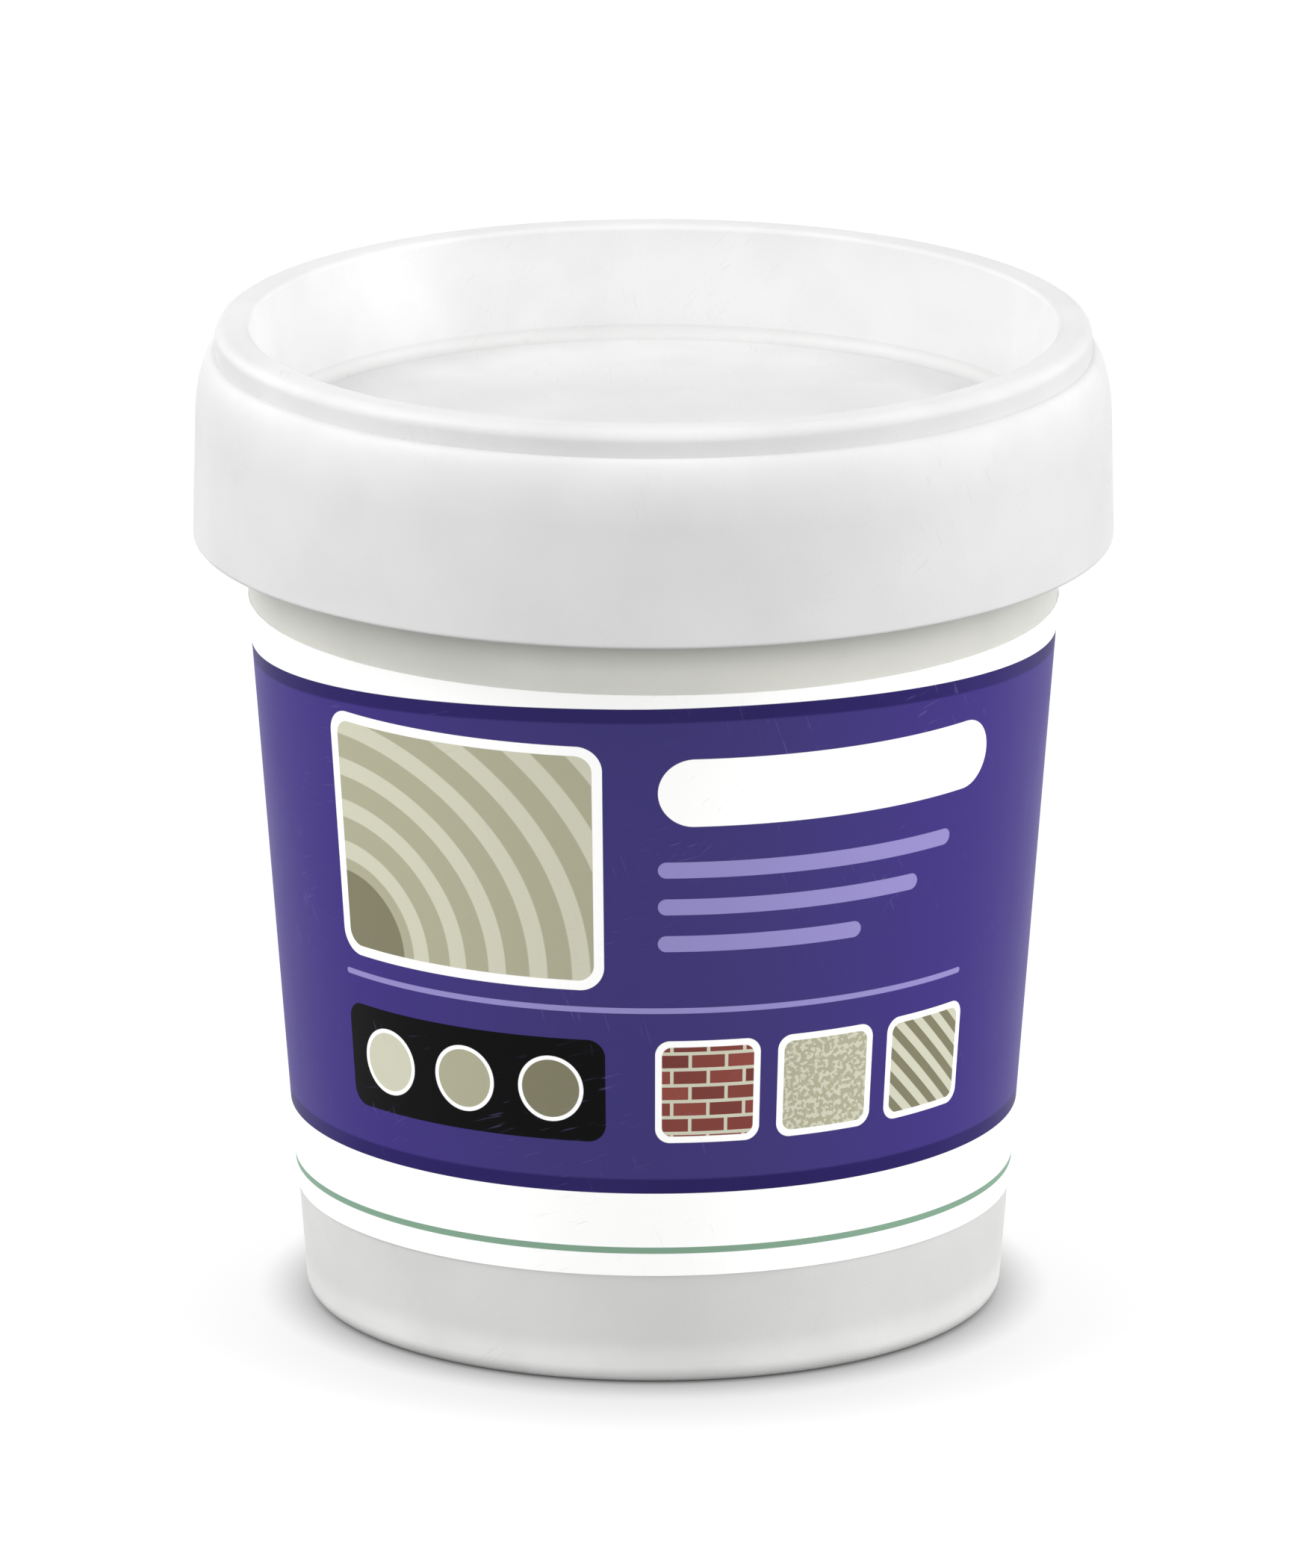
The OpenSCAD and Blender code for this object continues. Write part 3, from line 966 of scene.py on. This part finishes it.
def label_print():
    """The printed label: violet field between white bands, a putty panel, bars and swatches."""
    material, tree, shader = new_material("label_print")
    place = object_place(tree)
    cloud, scuff = handled_skin(tree, shader, place, grain_scale=5200.0, cloud_scale=32.0, scuffs=0.6,
                                roughness=(0.38, 0.08, 0.25), relief=0.015 * MM)
    sheet = PrintSheet(tree, place)
    lay_field(sheet, cloud)
    lay_panel(sheet)
    lay_bars(sheet)
    lay_discs(sheet)
    lay_swatches(sheet)
    lay_ruled_blocks(sheet)
    lay_cut_edge(sheet)
    sheet.lay(maths(tree, "MULTIPLY", scuff, PRINT_SCUFF_SHARE), PALE_VIOLET)
    feed(tree, shader.inputs["Base Color"], sheet.colour)
    shader.inputs["Specular IOR Level"].default_value = 0.05
    return material


def filler_paste():
    """Off-white mineral paste: matt, faintly mottled, with fine drag lines and pin holes, with painted
    shade in the holes.
    """
    material, tree, shader = new_material("filler_paste")
    place = object_place(tree)
    mottle = noise(tree, place, MOTTLE_SCALE, 4.0)
    drag = noise(tree, place, DRAG_SCALE, 3.0)
    cells = node(tree, "ShaderNodeTexVoronoi", {"Vector": place, "Scale": PIN_HOLE_SCALE})
    hole = remap(tree, cells.outputs["Distance"], *PIN_HOLE_RANGE)
    body = mixed(tree, remap(tree, mottle, *MOTTLE_RANGE), PASTE, DULL_PASTE)
    # Pin holes darker: painted shade
    body = mixed(tree, maths(tree, "MULTIPLY", hole, PIN_HOLE_SHADE_SHARE), body, PIN_HOLE_SHADE)
    feed(tree, shader.inputs["Base Color"], body)
    rough = maths(tree, "MULTIPLY_ADD", mottle, MOTTLE_ROUGHNESS, PASTE_ROUGHNESS)
    feed(tree, shader.inputs["Roughness"], rough)
    shader.inputs["Specular IOR Level"].default_value = 0.35
    bumped(tree, shader, maths(tree, "SUBTRACT", drag, hole), PASTE_RELIEF)
    return material


def clear_film():
    """Thin clear film: mostly see-through, hazy in patches, with a soft gloss."""
    material, tree, shader = new_material("clear_film")
    place = object_place(tree)
    haze = noise(tree, place, HAZE_SCALE, 3.0)
    ripple = noise(tree, place, RIPPLE_SCALE, 2.0)
    shader.inputs["Base Color"].default_value = FILM
    feed(tree, shader.inputs["Alpha"], remap(tree, haze, *HAZE_RANGE, *HAZE_ALPHA))
    rough = maths(tree, "MULTIPLY_ADD", haze, HAZE_ROUGHNESS, FILM_ROUGHNESS)
    feed(tree, shader.inputs["Roughness"], rough)
    shader.inputs["Specular IOR Level"].default_value = 0.6
    bumped(tree, shader, ripple, FILM_RELIEF)
    return material


def dress(piece, body, cad_node):
    """Sets a piece on its body in place of its plain solid."""
    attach(piece, body)
    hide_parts(cad_node)


# Pot and lid
catch_sizes = {"Catch Count": CATCH_COUNT, "Catch Share": CATCH_ANGLE * CATCH_COUNT / math.tau}
moulding_tree = turned_tree("turned_moulding", list(catch_sizes), moulding_shape)
tub_plastic = moulded_plastic(
    "tub_plastic", pale=tint("#d0d0cf"), deep=tint("#bdbdba"), mark_tone=tint("#bdbdb8"), roughness=0.36,
    # Neck and rim tone: painted light against the shade under the lid; heel tone: painted highlight
    zones=((tint("#d3d3cc"), neck_light_mask), (tint("#dededd"), heel_highlight_mask)),
)
lid_plastic = moulded_plastic(
    "lid_plastic", pale=tint("#cfcfcf"), deep=tint("#bdbdbd"), mark_tone=tint("#b9b9b8"), roughness=0.4,
    # Recess tone: painted light that brightens the recess
    zones=((tint("#dadada"), recess_light_mask),),
)
moulded_tub = turned_piece("moulded_tub", tub_outline(), moulding_tree, tub_plastic, catch_sizes)
dress(moulded_tub, "tub", "tub")
plug_lid = turned_piece("plug_lid", lid_outline(), moulding_tree, lid_plastic, catch_sizes)
dress(plug_lid, "lid", "lid")

# Label, which starts and ends at the back
lap_angle = LABEL_LAP / label_mid_r
ramp_angle = LABEL_RAMP / label_mid_r
label_sweep = math.tau + lap_angle
lap_sizes = {
    "Lap From": (math.tau - ramp_angle) / label_sweep,
    "Lap To": math.tau / label_sweep,
    "Lap Lift": LABEL_T,
}
wrap_tree = turned_tree("wrapped_label", list(lap_sizes), wrap_shape)
wrap_label = turned_piece("wrap_label", label_outline(), wrap_tree, label_print(), lap_sizes,
                          start=(math.pi - lap_angle) / 2, sweep=label_sweep)
dress(wrap_label, "tub", "label")

# Contents
swirl_sizes = {"Swirl Pitch": SWIRL_PITCH, "Swirl Depth": SWIRL_DEPTH}
swirl_tree = turned_tree("swirled_paste", list(swirl_sizes), swirl_shape)
swirled_filler = turned_piece("swirled_filler", paste_outline(), swirl_tree, filler_paste(), swirl_sizes)
dress(swirled_filler, "tub", "filler")
wrinkle_sizes = {"Wrinkle Height": WRINKLE_H}
wrinkle_tree = turned_tree("wrinkled_film", list(wrinkle_sizes), wrinkle_shape)
film_disc = turned_piece("film_disc", film_outline(), wrinkle_tree, clear_film(), wrinkle_sizes)
dress(film_disc, "tub", "cover_film")

# Camera: a long lens, a little above level, square to the front of the label
SENSOR = 36.0
VIEW_TALL = 188 * MM
CAMERA_FAR = 2.5
CAMERA_RISE = math.radians(15.4)
CAMERA_AIM = Vector((0, 0, 62.6 * MM))
CAMERA_CLIP = 50.0

# Lamps as name, place in metres and power in watts
LAMP_SIZE = 0.9
LAMPS = (
    ("left_front_lamp", (-0.6, -1.6, 0.75), 9.5),
    ("right_front_lamp", (0.6, -1.6, 0.75), 10.7),
    ("left_lamp", (-1.5, -0.2, 0.5), 7.2),
    ("right_lamp", (1.5, -0.2, 0.5), 13.5),
    ("left_high_lamp", (-1.1, -0.2, 1.3), 16.0),
    ("right_high_lamp", (1.1, -0.2, 1.3), 10.0),
    ("left_back_lamp", (-1.2, 1.0, 0.6), 6.5),
    ("right_back_lamp", (1.2, 1.0, 0.6), 4.0),
)

# Room and floor: the greys that light the object, the floor as it is seen, and its two soft shadows, one
# close round the heel and one that falls forward
ROOM_LIGHT = grey(0.23)
WHITE = grey(1.0)
FLOOR_REACH = 4.0
FLOOR_BOUNCE = grey(0.3)
FLOOR_SEEN = grey(0.05)
FLOOR_GLOW = 0.955
CONTACT_REACH = 6.5 * MM
CONTACT_DEPTH = 0.75
SHADOW_FROM = (0.0, 1.0, 0.05)
SHADOW_REACH = 20 * MM
SHADOW_DEPTH = 0.34
SHADOW_SAMPLES = 16


def add_camera():
    data = bpy.data.cameras.new("camera")
    data.sensor_width = SENSOR
    data.lens = SENSOR * CAMERA_FAR / VIEW_TALL
    data.clip_end = CAMERA_CLIP
    camera = bpy.data.objects.new("camera", data)
    back = Vector((0, -math.cos(CAMERA_RISE), math.sin(CAMERA_RISE)))
    camera.location = CAMERA_AIM + back * CAMERA_FAR
    camera.rotation_euler = back.to_track_quat("Z", "Y").to_euler()
    bpy.context.scene.collection.objects.link(camera)
    bpy.context.scene.camera = camera


def add_lamp(name, place, power):
    """A soft square lamp that faces the middle of the tub."""
    data = bpy.data.lights.new(name, "AREA")
    data.size = LAMP_SIZE
    data.energy = power
    lamp = bpy.data.objects.new(name, data)
    lamp.location = place
    lamp.rotation_euler = (Vector(place) - CAMERA_AIM).to_track_quat("Z", "Y").to_euler()
    lamp.visible_camera = False
    bpy.context.scene.collection.objects.link(lamp)


def seen_directly(tree):
    """1 where a ray comes from the camera, or by way of a mirror or clear surface."""
    rays = node(tree, "ShaderNodeLightPath").outputs
    seen = maths(tree, "MAXIMUM", rays["Is Camera Ray"], rays["Is Glossy Ray"])
    return maths(tree, "MAXIMUM", seen, rays["Is Transmission Ray"])


def soft_shadow(tree, inputs, depth):
    """Shade of what stands close above the floor: 1 in the open, and darker beside it."""
    open_share = node(tree, "ShaderNodeAmbientOcclusion", inputs, samples=SHADOW_SAMPLES).outputs["AO"]
    return maths(tree, "POWER", open_share, depth)


def floor_white():
    """Plain pale floor that reads as white where it is seen, with soft shadows."""
    material, tree, shader = new_material("floor_white")
    seen = seen_directly(tree)
    feed(tree, shader.inputs["Base Color"], mixed(tree, seen, FLOOR_BOUNCE, FLOOR_SEEN))
    shader.inputs["Roughness"].default_value = 0.9
    shader.inputs["Specular IOR Level"].default_value = 0.0
    shader.inputs["Emission Color"].default_value = WHITE
    contact = soft_shadow(tree, {"Distance": CONTACT_REACH}, CONTACT_DEPTH)
    back = node(tree, "ShaderNodeCombineXYZ", dict(zip("XYZ", SHADOW_FROM))).outputs["Vector"]
    fallen = soft_shadow(tree, {"Distance": SHADOW_REACH, "Normal": back}, SHADOW_DEPTH)
    feed(tree, shader.inputs["Emission Strength"], product(tree, contact, fallen, FLOOR_GLOW, seen))
    return material


def add_floor():
    mesh = bpy.data.meshes.new("floor")
    reach = FLOOR_REACH
    corners = [(-reach, -reach, 0), (reach, -reach, 0), (reach, reach, 0), (-reach, reach, 0)]
    mesh.from_pydata(corners, [], [(0, 1, 2, 3)])
    mesh.materials.append(floor_white())
    floor = bpy.data.objects.new("floor", mesh)
    bpy.context.scene.collection.objects.link(floor)


def add_world():
    """A dim room behind a white backdrop."""
    world = bpy.data.worlds.new("studio")
    world.use_nodes = True
    tree = world.node_tree
    shade = mixed(tree, seen_directly(tree), ROOM_LIGHT, WHITE)
    feed(tree, tree.nodes["Background"].inputs["Color"], shade)
    bpy.context.scene.world = world


add_camera()
for lamp in LAMPS:
    add_lamp(*lamp)
add_floor()
add_world()
bpy.context.scene.view_settings.view_transform = "Standard"
